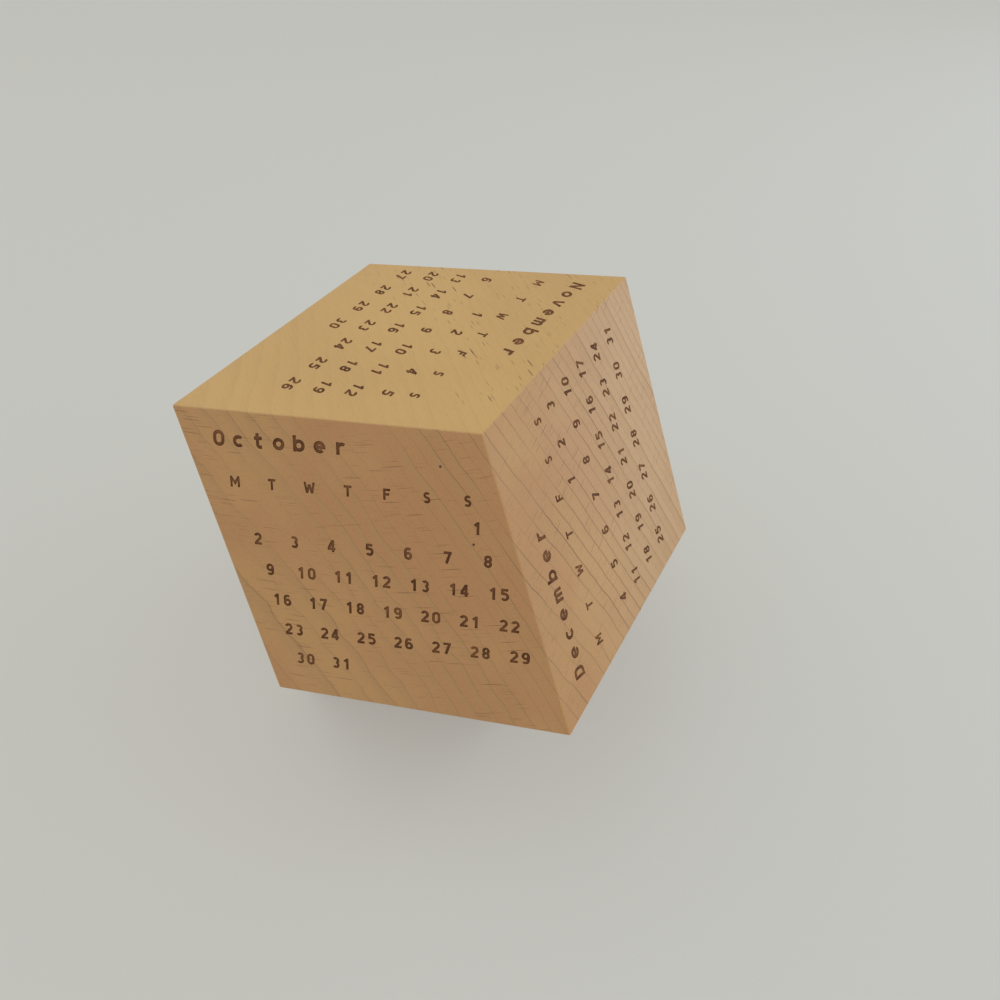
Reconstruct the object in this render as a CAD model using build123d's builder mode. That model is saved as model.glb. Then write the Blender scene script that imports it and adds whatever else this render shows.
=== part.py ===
"""Wooden dodecahedron calendar: one solid block of beech with twelve rhombic faces, and a
month engraved in each.  Millimetres.  The block rests on a face at Z = 0, and its long
axis, along the grain of the wood, is Y."""

import os
from math import sqrt

from build123d import *

# ---- the block -----------------------------------------------------------------------

ACROSS_FLATS = 70.0     # between two opposite faces
EDGE_EASE = 0.35        # radius sanded on the edges

# ---- the lettering: sizes along a face, and down from its top edge -------------------

ENGRAVE_DEPTH = 0.2
TITLE_CAP = 2.2         # cap heights: month name, weekday initials, dates
INITIAL_CAP = 1.55
DATE_CAP = 1.75
LETTER_STEP = 2.9       # from letter to letter of a month name
DIGIT_STEP = 1.6        # from digit to digit of a two-digit date
INITIAL_DROP = 5.58     # from the month name's baseline to the initials'
DATE_DROP = 3.65        # from the initials' baseline to the first week's
TITLE_INSET = 4.5       # from the slanting left edge to the middle of the first letter
MONDAY_INSET = 4.45     # from the same edge to the middle of the Monday column
SUNDAY_INSET = 5.75     # from the slanting right edge to the middle of the Sunday column
TOP_MARGIN = 4.4        # from the top edge to the name's baseline over six weeks of dates
BOTTOM_MARGIN = 4.75    # from the sixth week's baseline to the bottom edge

# The engraving of these months strays from its place: across and up, and in degrees
STRAYS = {
    "October": (1.05, 0, 1.5),
    "November": (-1.2, -0.5, -1),
    "December": (0.15, 0.55, 0.6),
}

# ---- the year: 1 January is a Sunday, and it is not a leap year ----------------------

MONTHS = {
    "January": 31, "February": 28, "March": 31, "April": 30, "May": 31, "June": 30,
    "July": 31, "August": 31, "September": 30, "October": 31, "November": 30,
    "December": 31,
}
WEEKDAYS = "MTWTFSS"
FIRST_WEEKDAY = 6       # of 1 January, with Monday as 0
MOST_WEEKS = 6

# ---- the rhombic dodecahedron --------------------------------------------------------

HALF = ACROSS_FLATS / 2             # from the middle to a face
REACH = HALF * sqrt(2)              # from the middle to either end of the long axis
EDGE = REACH * sqrt(3) / 2
MIDDLE = Vector(0, 0, HALF)
FACE_HEIGHT = EDGE * sqrt(8) / 3
SLANT = sqrt(2) / 4                 # run of a face's slanting left edge for each unit down

# ---- the grid of dates, as wide and as high as the margins leave it -------------------

COLUMN_STEP = (EDGE - MONDAY_INSET - SUNDAY_INSET) / (len(WEEKDAYS) - 1)
FIRST_WEEK = TOP_MARGIN + INITIAL_DROP + DATE_DROP
WEEK_STEP = (FACE_HEIGHT - FIRST_WEEK - BOTTOM_MARGIN) / (MOST_WEEKS - 1)

# ---- strokes of each character, one cap high, about a middle line at X = 0 -----------

PEN = 0.22                          # width of a stroke
FOOT = PEN / 2                      # paths along the bottom, the top and a low letter's top
HEAD = 1 - FOOT
LOW = 0.76                          # height of a low letter
BROW = LOW - FOOT
FIGURE = 0.22                       # half-width of a figure's path, and of wider letters'
CAPITAL = 0.27
BOWL = (BROW - FOOT) / 2            # radius of a low round letter
UPPER = 0.19                        # radii of the two bowls of an 8
LOWER = (HEAD - FOOT) / 2 - UPPER
HOOK = 0.16                         # radius at the foot of a t


def arc(x, y, radius, start, sweep):
    """A round stroke about (x, y), from one angle through another."""
    return Edge.make_circle(
        radius, Plane(origin=(x, y)), start, start + sweep,
        AngularDirection.COUNTER_CLOCKWISE if sweep > 0 else AngularDirection.CLOCKWISE,
    )


def ring(x, y, radius):
    """A round stroke all the way about (x, y), as two halves."""
    return [arc(x, y, radius, 0, 180), arc(x, y, radius, 180, 180)]


def line(*points):
    """Straight strokes from point to point."""
    return Wire.make_polygon([Vector(*p) for p in points], close=False)


def oval(half):
    """A tall closed stroke with straight sides."""
    return [
        arc(0, HEAD - half, half, 0, 180),
        line((-half, HEAD - half), (-half, FOOT + half)),
        arc(0, FOOT + half, half, 180, 180),
        line((half, FOOT + half), (half, HEAD - half)),
    ]


def arch(x, half):
    """The shoulder and right leg of an n, starting from a stem at x - half."""
    return [arc(x, BROW - half, half, 0, 180), line((x + half, BROW - half), (x + half, 0))]


def hook(x, top):
    """A stem whose foot turns to the right, as on a t."""
    return [
        line((x, top), (x, FOOT + HOOK)),
        arc(x + HOOK, FOOT + HOOK, HOOK, 180, 90),
        line((x + HOOK, FOOT), (x + HOOK + 0.12, FOOT)),
    ]


STROKES = {
    "0": oval(FIGURE),
    "1": [line((0.07, 0), (0.07, 1)), line((-0.2, 0.7), (0.07, 0.88))],
    "2": [
        arc(0, HEAD - FIGURE, FIGURE, -40, 205),
        line((0.17, 0.54), (-FIGURE, FOOT)),
        line((-0.3, FOOT), (0.31, FOOT)),
    ],
    "3": [arc(0, HEAD - UPPER, UPPER, -90, 240), arc(0, FOOT + LOWER, LOWER, -150, 240)],
    "4": [
        line((0.12, 0), (0.12, 1)),
        line((0.1, 0.93), (-0.24, 0.3)),
        line((-0.32, 0.27), (0.32, 0.27)),
    ],
    "5": [
        line((0.25, HEAD), (-0.17, HEAD), (-0.19, 0.48)),
        arc(-0.01, FOOT + 0.24, 0.24, -145, 275),
    ],
    "6": [
        *ring(0, FOOT + FIGURE, FIGURE),
        line((-FIGURE, FOOT + FIGURE), (-FIGURE, HEAD - FIGURE)),
        arc(0, HEAD - FIGURE, FIGURE, 40, 140),
    ],
    "7": [line((-0.3, HEAD), (0.31, HEAD)), line((0.2, 0.92), (-0.1, 0.02))],
    "8": [*ring(0, HEAD - UPPER, UPPER), *ring(0, FOOT + LOWER, LOWER)],
    "9": [
        *ring(0, HEAD - FIGURE, FIGURE),
        line((FIGURE, HEAD - FIGURE), (FIGURE, FOOT + FIGURE)),
        arc(0, FOOT + FIGURE, FIGURE, 220, 140),
    ],
    "A": [
        line((-0.32, 0), (-0.03, 1)), line((0.32, 0), (0.03, 1)),
        line((-0.2, 0.3), (0.2, 0.3)),
    ],
    "D": [
        line((0, HEAD), (-CAPITAL, HEAD), (-CAPITAL, FOOT), (0, FOOT)),
        arc(0, HEAD - CAPITAL, CAPITAL, 0, 90),
        line((CAPITAL, HEAD - CAPITAL), (CAPITAL, FOOT + CAPITAL)),
        arc(0, FOOT + CAPITAL, CAPITAL, -90, 90),
    ],
    "F": [
        line((-0.22, 0), (-0.22, HEAD), (0.3, HEAD)),
        line((-0.22, 0.5), (0.22, 0.5)),
    ],
    "J": [
        line((0.18, 1), (0.18, FOOT + FIGURE)),
        arc(0.18 - FIGURE, FOOT + FIGURE, FIGURE, -160, 160),
    ],
    "M": [
        line((-0.35, 0), (-0.35, 1)), line((0.35, 0), (0.35, 1)),
        line((-0.35, 0.93), (0, 0.36), (0.35, 0.93)),
    ],
    "N": [
        line((-CAPITAL, 0), (-CAPITAL, 1)), line((CAPITAL, 0), (CAPITAL, 1)),
        line((-CAPITAL, 0.94), (CAPITAL, 0.06)),
    ],
    "O": oval(CAPITAL),
    "S": [arc(0, HEAD - UPPER, UPPER, 30, 240), arc(0, FOOT + LOWER, LOWER, -150, 240)],
    "T": [line((-0.36, HEAD), (0.36, HEAD)), line((0, 0), (0, HEAD))],
    "W": [
        line((-0.42, 1), (-0.23, 0.02)), line((-0.23, 0.02), (0, 0.8)),
        line((0, 0.8), (0.23, 0.02)), line((0.23, 0.02), (0.42, 1)),
    ],
    "a": [*ring(0, FOOT + BOWL, BOWL), line((BOWL, 0), (BOWL, LOW))],
    "b": [*ring(0, FOOT + BOWL, BOWL), line((-BOWL, 0), (-BOWL, 1))],
    "c": [arc(0, FOOT + BOWL, BOWL, 45, 270)],
    "e": [arc(0, FOOT + BOWL, BOWL, 0, 315), line((-BOWL, 0.37), (BOWL + FOOT, 0.37))],
    "g": [
        *ring(0, FOOT + BOWL, BOWL), line((BOWL, LOW), (BOWL, 0)),
        arc(0, 0, BOWL, -140, 140),
    ],
    "h": [line((-0.25, 0), (-0.25, 1)), *arch(0, 0.25)],
    "i": [line((0, 0), (0, LOW)), line((0, 0.84), (0, 1))],
    "l": hook(-0.1, 1),
    "m": [line((-0.34, 0), (-0.34, LOW)), *arch(-0.17, 0.17), *arch(0.17, 0.17)],
    "n": [line((-0.25, 0), (-0.25, LOW)), *arch(0, 0.25)],
    "o": ring(0, FOOT + BOWL, BOWL),
    "p": [*ring(0, FOOT + BOWL, BOWL), line((-BOWL, -0.28), (-BOWL, LOW))],
    "r": [
        line((-0.15, 0), (-0.15, LOW)),
        arc(0.1, BROW - 0.25, 0.25, 50, 130),
    ],
    "s": [
        line((0.24, BROW), (-0.08, BROW)), arc(-0.08, BROW - BOWL / 2, BOWL / 2, 90, 180),
        line((-0.08, BROW - BOWL), (0.08, BROW - BOWL)),
        arc(0.08, FOOT + BOWL / 2, BOWL / 2, -90, 180), line((0.08, FOOT), (-0.24, FOOT)),
    ],
    "t": [*hook(-0.06, 0.96), line((-0.28, BROW), (0.24, BROW))],
    "u": [
        line((-0.25, LOW), (-0.25, FOOT + 0.25)), arc(0, FOOT + 0.25, 0.25, 180, 180),
        line((0.25, 0), (0.25, LOW)),
    ],
    "v": [line((-0.3, LOW), (-0.02, 0.02)), line((0.3, LOW), (0.02, 0.02))],
    "y": [line((-0.3, LOW), (-0.01, 0.06)), line((0.3, LOW), (-0.12, -0.26))],
}


def character(name, cap):
    """One character as a sketch, cap high, standing on Y = 0."""
    with BuildSketch(mode=Mode.PRIVATE) as shape:
        for stroke in STROKES[name]:
            trace(stroke, line_width=PEN)
        scale(by=cap)
    return shape.sketch


def month_marks(title, first, days):
    """Every mark of one month: (character, cap height, its place on the face)."""
    weeks = (first + days + 6) // 7
    top = TOP_MARGIN + (MOST_WEEKS - weeks) * WEEK_STEP / 2
    for n, letter in enumerate(title):
        yield letter, TITLE_CAP, (TITLE_INSET + n * LETTER_STEP + top * SLANT, -top)

    down = top + INITIAL_DROP
    for column, letter in enumerate(WEEKDAYS):
        across = MONDAY_INSET + column * COLUMN_STEP + down * SLANT
        yield letter, INITIAL_CAP, (across, -down)

    for day in range(1, days + 1):
        week, column = divmod(first + day - 1, 7)
        down = top + INITIAL_DROP + DATE_DROP + week * WEEK_STEP
        across = MONDAY_INSET + column * COLUMN_STEP + down * SLANT
        digits = str(day)
        for n, digit in enumerate(digits):
            shift = (n - (len(digits) - 1) / 2) * DIGIT_STEP
            yield digit, DATE_CAP, (across + shift, -down)


# ---- where the months go: three round each of four blunt corners, a quarter each ------

TIPS = [
    Vector(HALF, REACH / 2, 0), Vector(-HALF, REACH / 2, 0),
    Vector(0, -REACH / 2, -HALF), Vector(0, -REACH / 2, HALF),
]
SHARP = [Vector(0, -REACH, 0), Vector(0, REACH, 0)] + [
    Vector(x, 0, z) for x in (-HALF, HALF) for z in (-HALF, HALF)
]


def quarter_planes(tip):
    """Planes of the three faces round a blunt corner, in the order of their months.  Each
    starts at the sharp corner that its month is read from, with X along the edge that
    runs from there to the tip, and the face lies below that edge."""
    around = [p for p in SHARP if (p - tip).length < EDGE * 1.01]
    other = around[0]
    planes = []
    for _ in around:
        corner = next(
            p for p in around
            if (other - p).cross(tip - p).dot(other + p) > HALF
        )
        planes.append(Plane(MIDDLE + corner, x_dir=tip - corner, z_dir=corner + other))
        other = corner
    return planes


def strayed(face, title):
    """The plane of a face, shifted and turned about its middle by the month's stray."""
    across, up, turn = STRAYS.get(title, (0, 0, 0))
    middle = Vector(EDGE + FACE_HEIGHT * SLANT, -FACE_HEIGHT) / 2
    return face * Pos(middle + Vector(across, up)) * Rot(Z=turn) * Pos(-middle)


FACES = [plane for tip in TIPS for plane in quarter_planes(tip)]

# ---- the block, split from a squared blank, eased and engraved -----------------------

os.makedirs("parts", exist_ok=True)

with BuildPart() as calendar_block:
    with Locations(MIDDLE):
        Box(ACROSS_FLATS, 2 * REACH, ACROSS_FLATS)
    for face in FACES:
        outward = face.z_dir
        if abs(outward.Y) > 0.1:
            split(bisect_by=Plane(MIDDLE + outward * HALF, z_dir=outward), keep=Keep.BOTTOM)
    fillet(calendar_block.edges(), radius=EDGE_EASE)

    first = FIRST_WEEKDAY
    for face, (title, days) in zip(FACES, MONTHS.items()):
        spots = {}
        for mark, cap, spot in month_marks(title, first, days):
            spots.setdefault((mark, cap), []).append(spot)
        with BuildSketch(strayed(face, title)) as lettering:
            for (mark, cap), places in spots.items():
                with Locations(*places):
                    add(character(mark, cap))
        first = (first + days) % 7
    extrude(amount=-ENGRAVE_DEPTH, mode=Mode.SUBTRACT)

calendar_block.part.label = "calendar_block"
export_step(calendar_block.part, "parts/calendar_block.step", write_pcurves=False)
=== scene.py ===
import math

import bpy
import numpy as np
from mathutils import Matrix, Vector


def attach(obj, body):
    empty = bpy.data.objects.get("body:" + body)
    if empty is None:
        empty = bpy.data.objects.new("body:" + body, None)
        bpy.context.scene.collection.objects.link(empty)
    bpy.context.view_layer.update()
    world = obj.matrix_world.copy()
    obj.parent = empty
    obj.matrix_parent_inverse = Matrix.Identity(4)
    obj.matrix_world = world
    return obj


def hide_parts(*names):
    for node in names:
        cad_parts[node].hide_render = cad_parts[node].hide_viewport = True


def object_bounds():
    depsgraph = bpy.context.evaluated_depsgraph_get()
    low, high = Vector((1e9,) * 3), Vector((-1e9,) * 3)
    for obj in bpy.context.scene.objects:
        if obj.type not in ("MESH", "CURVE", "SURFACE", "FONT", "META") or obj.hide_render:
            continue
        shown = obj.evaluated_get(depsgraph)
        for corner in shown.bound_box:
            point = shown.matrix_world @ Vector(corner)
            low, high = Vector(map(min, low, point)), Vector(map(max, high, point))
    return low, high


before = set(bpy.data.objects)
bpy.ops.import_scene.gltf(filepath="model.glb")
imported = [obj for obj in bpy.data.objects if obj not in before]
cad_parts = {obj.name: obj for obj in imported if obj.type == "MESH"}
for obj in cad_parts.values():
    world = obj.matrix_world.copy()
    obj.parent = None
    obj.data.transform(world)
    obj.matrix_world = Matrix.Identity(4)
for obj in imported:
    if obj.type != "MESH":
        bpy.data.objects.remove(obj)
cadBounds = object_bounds()
print("frame loaded:", sorted(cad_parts))

mm = 0.001

# The solid that the block is cut to
lowest, highest = cadBounds
middle = np.array((lowest + highest) / 2)
half = (highest.z - lowest.z) / 2          # from the middle to every face
reach = half * math.sqrt(2)                # from the middle to the ends of the long axis

sharpCorners = np.array(
    [(0, y, 0) for y in (-reach, reach)]
    + [(x, 0, z) for x in (-half, half) for z in (-half, half)]
)
bluntCorners = np.array(
    [(0, y, z) for y in (-reach / 2, reach / 2) for z in (-half, half)]
    + [(x, y, 0) for x in (-half, half) for y in (-reach / 2, reach / 2)]
)

# Outward directions of the faces: two level, two upright and eight slanting ones
slant = (1 / 2, math.sqrt(1 / 2), 1 / 2)
outwards = np.array(
    [(0, 0, z) for z in (-1, 1)]
    + [(x, 0, 0) for x in (-1, 1)]
    + [
        (x * slant[0], y * slant[1], z * slant[2])
        for x in (-1, 1) for y in (-1, 1) for z in (-1, 1)
    ]
)


# Meshes

# Corners of every triangle of a CAD node, as places and as numbers of merged points
def trianglesOf(node, mergeWithin=mm * 1e-4):
    mesh = node.data
    mesh.calc_loop_triangles()
    places = np.empty(len(mesh.vertices) * 3)
    mesh.vertices.foreach_get("co", places)
    corners = np.empty(len(mesh.loop_triangles) * 3, dtype=np.int64)
    mesh.loop_triangles.foreach_get("vertices", corners)
    keys = np.round(places.reshape(-1, 3) / mergeWithin).astype(np.int64)
    _, first, merged = np.unique(keys, axis=0, return_index=True, return_inverse=True)
    corners = merged.reshape(-1)[corners].reshape(-1, 3)
    whole = (
        (corners[:, 0] != corners[:, 1])
        & (corners[:, 1] != corners[:, 2])
        & (corners[:, 2] != corners[:, 0])
    )
    return places.reshape(-1, 3)[first], corners[whole]


# A mesh object from points and triangles, keeping only the points that are used
def meshPiece(name, points, triangles):
    used, renumbered = np.unique(triangles, return_inverse=True)
    mesh = bpy.data.meshes.new(name)
    mesh.vertices.add(len(used))
    mesh.vertices.foreach_set("co", points[used].astype(np.float32).ravel())
    mesh.loops.add(triangles.size)
    mesh.loops.foreach_set("vertex_index", renumbered.astype(np.int32).ravel())
    mesh.polygons.add(len(triangles))
    mesh.polygons.foreach_set("loop_start", np.arange(0, triangles.size, 3, dtype=np.int32))
    mesh.polygons.foreach_set("loop_total", np.full(len(triangles), 3, dtype=np.int32))
    mesh.update(calc_edges=True)
    mesh.validate()
    piece = bpy.data.objects.new(name, mesh)
    bpy.context.scene.collection.objects.link(piece)
    return piece


# Which of the twelve faces each triangle belongs to, and how deep it lies under it:
# the face whose plane is nearest, and the half width less the distance along its normal
def facesUnder(points, triangles):
    centres = points[triangles].mean(axis=1) - middle
    along = centres @ outwards.T
    return along.argmax(axis=1), half - along.max(axis=1)


# Each face on its own cell of the map: a place's shares along the two edges that leave
# the face's first sharp corner, squeezed into a grid of cells with room round each
def faceMap(piece, points, triangles, face, columns=4, rows=3, room=0.03):
    shares = np.empty((len(triangles), 3, 2))
    for n, outward in enumerate(outwards):
        start = sharpCorners[np.argmax(sharpCorners @ outward)]
        onFace = bluntCorners @ outward > half * 0.99
        ends = bluntCorners[onFace] - start
        if np.dot(np.cross(ends[0], ends[1]), outward) < 0:
            ends = ends[::-1]
        mine = face == n
        sides = np.vstack([ends, outward])
        local = (points[triangles[mine]] - middle - start) @ np.linalg.inv(sides)
        cell = np.array([n % columns, n // columns])
        shares[mine] = (cell + room + local[..., :2] * (1 - 2 * room)) / (columns, rows)
    layer = piece.data.uv_layers.new(name="OFBake")
    layer.data.foreach_set("uv", shares.astype(np.float32).ravel())


# Shader maths

# A socket that can be reckoned with; the first one of a material has none
class Wire:
    def __init__(self, tree, socket=None):
        self.tree = tree
        self.socket = socket

    def node(self, kind, settings=None, values=None, output=0):
        made = self.tree.nodes.new(kind)
        for name, setting in (settings or {}).items():
            setattr(made, name, setting)
        for name, value in (values or {}).items():
            if isinstance(value, Wire):
                self.tree.links.new(value.socket, made.inputs[name])
            else:
                made.inputs[name].default_value = value
        return Wire(self.tree, made.outputs[output])

    def maths(self, operation, *values):
        return self.node(
            "ShaderNodeMath", {"operation": operation}, dict(enumerate(values))
        )

    def __add__(self, other):
        return self.maths("ADD", self, other)

    def __sub__(self, other):
        return self.maths("SUBTRACT", self, other)

    def __rsub__(self, other):
        return self.maths("SUBTRACT", other, self)

    def __mul__(self, other):
        return self.maths("MULTIPLY", self, other)

    def __truediv__(self, other):
        return self.maths("DIVIDE", self, other)

    def __rtruediv__(self, other):
        return self.maths("DIVIDE", other, self)

    __radd__ = __add__
    __rmul__ = __mul__

    def size(self):
        return self.maths("ABSOLUTE", self)

    # the X, Y and Z of a vector
    def axes(self):
        return [self.node("ShaderNodeSeparateXYZ", None, {0: self}, n) for n in range(3)]

    # 0 at low, 1 at high, with a soft start and end
    def rise(self, low, high):
        return self.node(
            "ShaderNodeMapRange", {"interpolation_type": "SMOOTHSTEP"},
            {"Value": self, "From Min": low, "From Max": high},
        )

    # 1 between a rise and a fall
    def band(self, rising, falling):
        return self.rise(*rising) * (1 - self.rise(*falling))

    # from 0 and 1 to low and high, in a straight line
    def span(self, low, high):
        return self * (high - low) + low

    # the colours' own sockets are the Mix node's 6 and 7, and its result is its third
    def mix(self, share, first, second):
        return self.node(
            "ShaderNodeMix", {"data_type": "RGBA"}, {0: share, 6: first, 7: second}, 2
        )


def srgb(red, green, blue):
    bent = [
        c / 255 / 12.92 if c / 255 <= 0.04045 else ((c / 255 + 0.055) / 1.055) ** 2.4
        for c in (red, green, blue)
    ]
    return (*bent, 1)


def newMaterial(name):
    material = bpy.data.materials.new(name)
    material.use_nodes = True
    return material, material.node_tree.nodes["Principled BSDF"]


# The wood
# Beech, with the grain along Y.  The rings bend round a pith that lies outside the block.
# Places and sizes are in mm from the middle; a pair is where a change begins and ends.
beech = {
    "pale": srgb(216, 176, 111),
    # colour of each layer, and how far it covers the ones before it
    "layers": {
        "endGrain": (srgb(201, 150, 99), 0.75),
        "rosy": (srgb(192, 134, 92), 0.5),
        # painted sheen: the end grain turns paler and greyer towards +x
        "paintedSheen": (srgb(216, 180, 140), 0.7),
        "lateWood": (srgb(194, 150, 100), 0.8),
        "ringLine": (srgb(130, 89, 57), 1.0),
        "fineRays": (srgb(120, 78, 48), 0.60),
        "broadRays": (srgb(120, 78, 48), 0.90),
        "pores": (srgb(120, 78, 48), 0.22),
        "pits": (srgb(66, 38, 22), 0.9),
        # pale edges: partly sanding wear, partly a painted highlight
        "edgeWearAndHighlight": (srgb(216, 176, 111), 0.4),
    },
    # size across, along the grain and up, detail, roughness, seed
    "noises": {
        "wave": ((24, 36, 24), 2.0, 0.5, 1.0),
        "ripple": ((5, 9, 5), 2.0, 0.5, 2.0),
        "tone": ((22, 45, 22), 3.0, 0.55, 3.0),
        "streaks": ((0.35, 5.0, 0.35), 3.0, 0.6, 4.0),
        "pores": ((0.13, 0.9, 0.13), 1.0, 0.5, 5.0),
        "patches": ((14, 20, 14), 1.0, 0.5, 8.0),
        "rosy": ((16, 30, 16), 2.0, 0.5, 9.0),
    },
    "endGrainFrom": (0.05, 0.65),     # how far the surface faces along the grain
    "edgeFrom": (0.90, 0.985),        # how nearly it faces as one of the faces does
    "sharpFrom": 40,                  # degrees between two faces that meet in an edge

    "fromMiddle": 20,                 # height where the ring sizes hold
    "rings": (0.54, 0.30),            # rings for each mm across and up
    "ringsBend": (0.0105, 0.003, 0.002),
    "lean": -0.09,                    # rings for each mm along the grain
    "wave": 0.6,                      # how far the rings stray, in rings
    "ripple": 0.42,
    "crisp": (-14, 8),                # the lines sharpen from here to here, across
    "lateWoodAt": ((0.35, 0.93), (0.955, 1.0)),       # in a ring, its rise and its fall
    "ringLineAt": ((0.87, 0.955), (0.965, 1.0)),
    "ringStrength": (0.10, 0.90),     # of the lines, along the fibres and across them
    "ringCrisp": (0.4, 1.0),          # where they are soft and where they are crisp
    "ringLuck": (0.3, 1.0),           # from the faintest ring to the boldest
    "ringPatches": (0.3, 1.0),        # from patch to patch
    "patchesFrom": (0.32, 0.62),
    "lateStrength": (0.12, 0.87),     # of the late wood, along the fibres and across them
    "lateLuck": (0.3, 1.1),
    "lateLeast": 0.2,
    "shade": 0.25,                    # mean depth of colour, and what moves it
    "shadeMoves": {"tone": 1.3, "luck": 0.4, "streaks": 0.5},

    "rayCell": (21, 8.0, 0.25),       # room of one ray across, along and through
    "rayTurn": (0.23, 0.008),         # tilt of the rays, and how it grows across
    "rayReach": 0.95,                 # of height and breadth in the turned directions
    "rayFrom": (-10, 8),              # across, where the top begins to show them
    "rayFacing": (0.2, 0.9),
    "rayChance": (0.1, 0.7),          # how many of the cells hold one
    # size against the cell, thickness, softness, seed
    "rays": {"broadRays": (1.0, 0.08, 0.07, 0.0), "fineRays": (0.5, 0.10, 0.12, 7.3)},

    "poresFrom": (0.52, 0.74),
    "poreStrength": (0.4, 1.0),       # along the fibres and across them
    "rosyFrom": (0.38, 0.62),
    # painted sheen, across: where it begins and where it is full
    "paintedSheenFrom": (2, 34),           # across
    "pits": ((-5.63, -23.65, 30.92), (-4.58, -30.49, 22.30)),
    "pitSize": (0.12, 0.24),          # dark middle and rim

    "roughness": 0.52,
    "roughnessMoves": {"streaks": 0.18, "broadRays": -0.08},
    "bumpDepth": 0.02 * mm,
    "bumpStrength": 0.5,
    "bumps": {"streaks": 0.6, "pores": 0.6, "ringLine": 0.4},
    "poreBumpFrom": (0.5, 0.8),
}


def beechMaterial():
    material, shader = newMaterial("beech")
    start = Wire(material.node_tree)
    place = start.node("ShaderNodeTexCoord", output="Object")
    centred = start.node(
        "ShaderNodeVectorMath", {"operation": "SUBTRACT"}, {0: place, 1: middle}
    )
    inMm = start.node(
        "ShaderNodeVectorMath", {"operation": "SCALE"}, {0: centred, "Scale": 1 / mm}
    )
    x, y, z = inMm.axes()

    def noise(name):
        size, detail, roughness, seed = beech["noises"][name]
        stretched = start.node(
            "ShaderNodeVectorMath", {"operation": "DIVIDE"}, {0: inMm, 1: size}
        )
        return start.node(
            "ShaderNodeTexNoise", {"noise_dimensions": "4D"},
            {"Vector": stretched, "W": seed, "Scale": 1.0, "Detail": detail,
             "Roughness": roughness},
        )

    # how squarely the surface cuts the fibres: 0 on the side faces, 1 on the slanting ones
    facing = start.node("ShaderNodeTexCoord", output="Normal")
    sideways, alongGrain, upward = (axis.size() for axis in facing.axes())
    endGrain = alongGrain.rise(*beech["endGrainFrom"])

    # edges: where the surface faces along none of the twelve outward directions; there the
    # colour turns pale again, partly sanding wear and partly a painted highlight
    slanting = sideways * slant[0] + alongGrain * slant[1] + upward * slant[2]
    square = start.maths("MAXIMUM", sideways, upward)
    edge = 1 - start.maths("MAXIMUM", square, slanting).rise(*beech["edgeFrom"])

    # growth rings: a count that bends with the square of the distance, and wanders
    crisp = x.rise(*beech["crisp"])
    up = z - beech["fromMiddle"]
    ahead, over = beech["rings"]
    bendX, bendBoth, bendUp = beech["ringsBend"]
    count = (
        x * (ahead + x * (bendX / 2) + up * bendBoth)
        + up * (over + up * (bendUp / 2))
        + y * beech["lean"]
        + (noise("wave") - 0.5) * (2 * beech["wave"])
        + (noise("ripple") - 0.5) * (2 - crisp) * beech["ripple"]
    )
    within = count.maths("FRACT", count)
    year = count.maths("FLOOR", count)
    luck = start.node(
        "ShaderNodeTexWhiteNoise", {"noise_dimensions": "1D"}, {"W": year}
    )
    patchy = noise("patches").rise(*beech["patchesFrom"]).span(*beech["ringPatches"])
    line = (
        within.band(*beech["ringLineAt"]) * luck.span(*beech["ringLuck"]) * patchy
        * endGrain.span(*beech["ringStrength"]) * crisp.span(*beech["ringCrisp"])
    )
    soft = (1 - crisp) * patchy * luck.span(*beech["lateLuck"]) + beech["lateLeast"]
    lateWood = (
        within.band(*beech["lateWoodAt"]) * endGrain.span(*beech["lateStrength"]) * soft
    )

    # medullary rays: thin sheets across the rings, each a stretched cell's middle
    turn, turnMore = beech["rayTurn"]
    through = z * beech["rayReach"] - x * (turn + x * (turnMore / 2))
    across = x * beech["rayReach"] + z * turn
    shown = sideways + alongGrain + x.rise(*beech["rayFrom"])
    crossed = shown.rise(*beech["rayFacing"])

    def rays(name):
        size, thick, softness, seed = beech["rays"][name]
        wide, long, deep = (size * c for c in beech["rayCell"])
        spot = start.node(
            "ShaderNodeCombineXYZ", None,
            {0: across / wide + seed, 1: y / long, 2: through / deep},
        )
        cells = {"Vector": spot, "Scale": 1.0}
        near = start.node("ShaderNodeTexVoronoi", None, cells, "Distance")
        which = start.node("ShaderNodeTexVoronoi", None, cells, "Color")
        chance = start.node("ShaderNodeSeparateColor", None, {0: which}, "Red")
        sheet = 1 - near.rise(thick, thick + softness)
        return sheet * chance.rise(*beech["rayChance"]) * crossed

    def pit(spot):
        away = start.node(
            "ShaderNodeVectorMath", {"operation": "DISTANCE"}, {0: inMm, 1: spot}, "Value"
        )
        return 1 - away.rise(*beech["pitSize"])

    broadRays = rays("broadRays")
    streaks = noise("streaks")
    pores = noise("pores")
    moves = beech["shadeMoves"]
    shade = (
        lateWood + (noise("tone") - 0.5) * moves["tone"]
        + (luck - 0.5) * endGrain * moves["luck"]
        + (streaks - 0.5) * moves["streaks"] + beech["shade"]
    )
    masks = {
        "endGrain": endGrain,
        "rosy": noise("rosy").rise(*beech["rosyFrom"]) * endGrain,
        # painted sheen, growing towards +x on the end grain
        "paintedSheen": x.rise(*beech["paintedSheenFrom"]) * endGrain,
        "lateWood": shade.rise(0.0, 1.0),
        "ringLine": line,
        "fineRays": rays("fineRays"),
        "broadRays": broadRays,
        "pores": pores.rise(*beech["poresFrom"]) * endGrain.span(*beech["poreStrength"]),
        "pits": sum(pit(spot) for spot in beech["pits"]),
        # pale edges: partly sanding wear, partly a painted highlight
        "edgeWearAndHighlight": edge,
    }
    colour = beech["pale"]
    for name, (paint, cover) in beech["layers"].items():
        colour = start.mix(masks[name] * cover, colour, paint)
    material.node_tree.links.new(colour.socket, shader.inputs["Base Color"])

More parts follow.
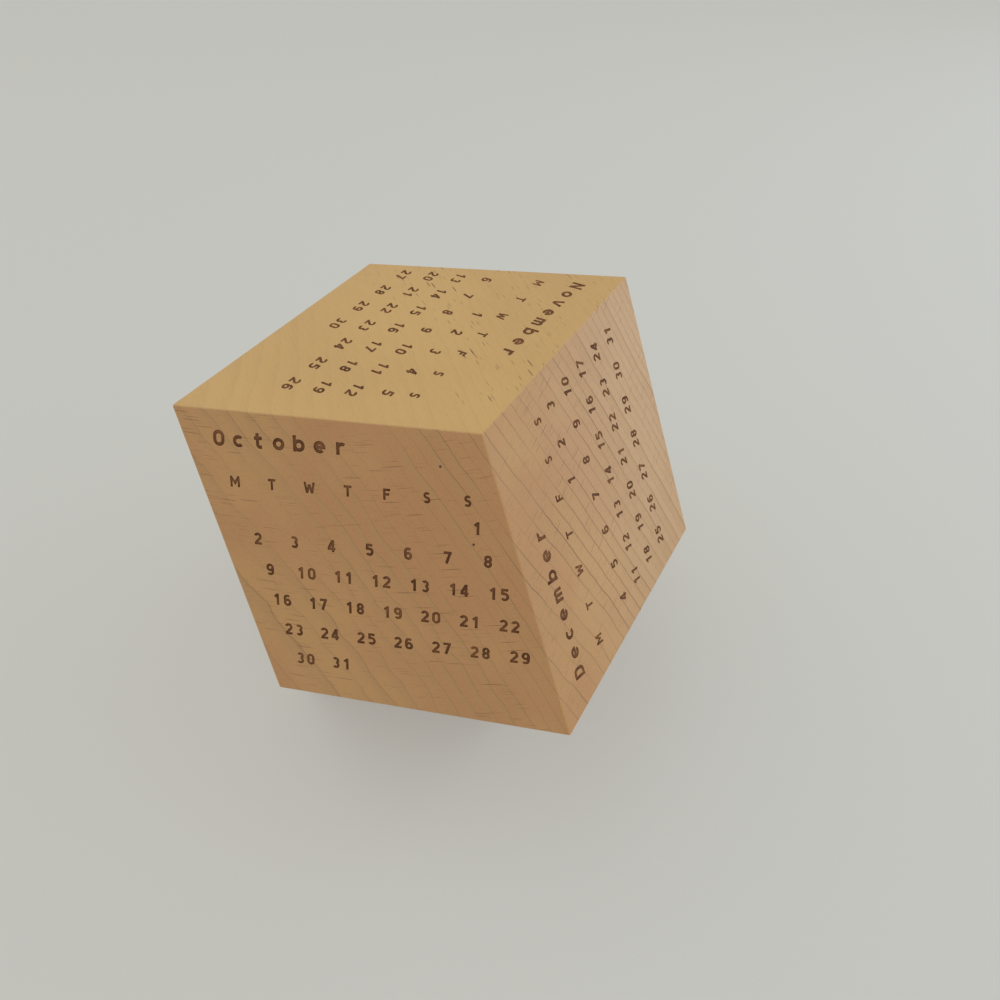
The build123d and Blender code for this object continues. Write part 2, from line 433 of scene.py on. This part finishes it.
    moves = beech["roughnessMoves"]
    gloss = (
        (streaks - 0.5) * moves["streaks"] + broadRays * moves["broadRays"]
        + beech["roughness"]
    )
    material.node_tree.links.new(gloss.socket, shader.inputs["Roughness"])
    bumps = beech["bumps"]
    height = (
        streaks * bumps["streaks"] - pores.rise(*beech["poreBumpFrom"]) * bumps["pores"]
        - line * bumps["ringLine"]
    )
    bump = start.node(
        "ShaderNodeBump", None,
        {"Height": height, "Strength": beech["bumpStrength"],
         "Distance": beech["bumpDepth"]},
    )
    material.node_tree.links.new(bump.socket, shader.inputs["Normal"])
    return material


def buildBlock():
    points, triangles = trianglesOf(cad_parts["calendar_block"])
    face, depth = facesUnder(points, triangles)
    block = meshPiece("calendar_wood", points, triangles)
    faceMap(block, points, triangles, face)
    block.data.materials.append(beechMaterial())
    block.data.shade_smooth()
    block.data.set_sharp_from_angle(angle=math.radians(beech["sharpFrom"]))
    flatten = block.modifiers.new("faces stay flat", "WEIGHTED_NORMAL")
    flatten.keep_sharp = True
    flatten.mode = "FACE_AREA"
    flatten.weight = 100
    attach(block, "root")
    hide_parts("calendar_block")
    print("wood:", len(triangles), "triangles")
    return points, triangles, face, depth


# The lettering: the scorched bed of every engraved stroke
lettering = {
    "scorched": srgb(98, 58, 29),
    "ashen": srgb(140, 92, 54),
    "patch": 2 * mm,
    "patchDetail": 3.0,
    "patchesFrom": (0.3, 0.75),
    "roughness": 0.8,
    "bed": 0.12 * mm,                 # thickness of the scorched layer in a stroke
    "level": 0.99,                    # how squarely a stroke's floor faces outwards
    "deep": 0.9,                      # and how near the full depth it lies
}


def scorchedMaterial():
    material, shader = newMaterial("scorched beech")
    start = Wire(material.node_tree)
    place = start.node("ShaderNodeTexCoord", output="Object")
    patches = start.node(
        "ShaderNodeTexNoise", None,
        {"Vector": place, "Scale": 1 / lettering["patch"],
         "Detail": lettering["patchDetail"]},
    )
    ashes = patches.rise(*lettering["patchesFrom"])
    colour = start.mix(ashes, lettering["scorched"], lettering["ashen"])
    material.node_tree.links.new(colour.socket, shader.inputs["Base Color"])
    shader.inputs["Roughness"].default_value = lettering["roughness"]
    return material


# The floors of the engraving, thickened upwards into closed slabs
def buildLettering(points, triangles, face, depth):
    corners = points[triangles]
    normals = np.cross(corners[:, 1] - corners[:, 0], corners[:, 2] - corners[:, 0])
    normals /= np.maximum(np.linalg.norm(normals, axis=1, keepdims=True), 1e-18)
    level = (normals * outwards[face]).sum(axis=1) > lettering["level"]
    floor = level & (depth > depth.max() * lettering["deep"])
    slabs = meshPiece("calendar_lettering", points, triangles[floor])
    faceMap(slabs, points, triangles[floor], face[floor])
    slabs.data.materials.append(scorchedMaterial())
    slab = slabs.modifiers.new("scorched layer", "SOLIDIFY")
    slab.thickness = lettering["bed"]
    slab.offset = 1.0                 # all of it above the floor
    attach(slabs, "root")
    print("lettering:", int(floor.sum()), "floor triangles,", depth.max() / mm, "mm deep")


wood = buildBlock()
buildLettering(*wood)


# Floor and light, in metres
studio = {
    "floor": srgb(214, 214, 208),
    "floorGlow": srgb(203, 203, 198),
    "glowShare": 0.45,                # of the floor that is seen
    "floorRoughness": 0.9,
    "floorSize": 6.0,
    "floorGap": 0.02 * mm,            # under the block
    "sky": (1.0, 1.0, 0.98),
    "skyStrength": 0.56,
    "lamps": {
        # name: place, size, watts, colour
        "top light": ((-0.45, 0.30, 0.95), 1.2, 2.4, (1.0, 0.96, 0.88)),
        "window": ((0.45, -0.12, 0.20), 0.5, 0.95, (0.78, 0.90, 1.0)),
    },
    "aim": (0, 0, 0.04),
}


def buildStudio():
    size = studio["floorSize"] / 2
    mesh = bpy.data.meshes.new("floor")
    mesh.from_pydata(
        [(-size, -size, 0), (size, -size, 0), (size, size, 0), (-size, size, 0)],
        [], [(0, 1, 2, 3)],
    )
    floor = bpy.data.objects.new("floor", mesh)
    bpy.context.scene.collection.objects.link(floor)
    floor.location.z = lowest.z - studio["floorGap"]
    material, shader = newMaterial("pale floor")
    shader.inputs["Base Color"].default_value = studio["floor"]
    shader.inputs["Roughness"].default_value = studio["floorRoughness"]
    # seen by the camera it is partly its own even tone, which keeps the shadow faint
    start = Wire(material.node_tree)
    seen = start.node("ShaderNodeLightPath", output="Is Camera Ray")
    glow = start.node("ShaderNodeEmission", None, {"Color": studio["floorGlow"]})
    lit = Wire(material.node_tree, shader.outputs["BSDF"])
    blend = start.node(
        "ShaderNodeMixShader", None, {0: seen * studio["glowShare"], 1: lit, 2: glow}
    )
    material.node_tree.links.new(
        blend.socket, material.node_tree.nodes["Material Output"].inputs["Surface"]
    )
    mesh.materials.append(material)

    world = bpy.data.worlds.new("soft room")
    world.use_nodes = True
    sky = world.node_tree.nodes["Background"]
    sky.inputs["Color"].default_value = (*studio["sky"], 1)
    sky.inputs["Strength"].default_value = studio["skyStrength"]
    bpy.context.scene.world = world

    for name, (place, width, watts, colour) in studio["lamps"].items():
        lamp = bpy.data.lights.new(name, "AREA")
        lamp.size, lamp.energy, lamp.color = width, watts, colour
        holder = bpy.data.objects.new(name, lamp)
        holder.location = place
        away = Vector(place) - Vector(studio["aim"])
        holder.rotation_euler = away.to_track_quat("Z", "Y").to_euler()
        bpy.context.scene.collection.objects.link(holder)
    print("studio built")


camera = {
    "fromMiddle": (-22.33 * mm, -89.49 * mm, 93.17 * mm),
    "lookDown": 45.68,                # degrees below level
    "turn": -20.34,                   # degrees from looking along the grain
    "roll": -4.51,
    "lens": 25.99,                    # mm, on a sensor of the next width
    "sensor": 36,
    "nearest": 5 * mm,
}


def buildCamera():
    made = bpy.data.cameras.new("camera")
    made.sensor_width = camera["sensor"]
    made.lens = camera["lens"]
    made.clip_start = camera["nearest"]
    holder = bpy.data.objects.new("camera", made)
    turned = (
        Matrix.Rotation(math.radians(camera["turn"]), 4, "Z")
        @ Matrix.Rotation(math.radians(90 - camera["lookDown"]), 4, "X")
        @ Matrix.Rotation(math.radians(camera["roll"]), 4, "Z")
    )
    holder.matrix_world = Matrix.Translation(
        Vector(middle) + Vector(camera["fromMiddle"])
    ) @ turned
    bpy.context.scene.collection.objects.link(holder)
    bpy.context.scene.camera = holder
    print("camera placed")


buildStudio()
buildCamera()
bpy.context.scene.view_settings.view_transform = "Standard"
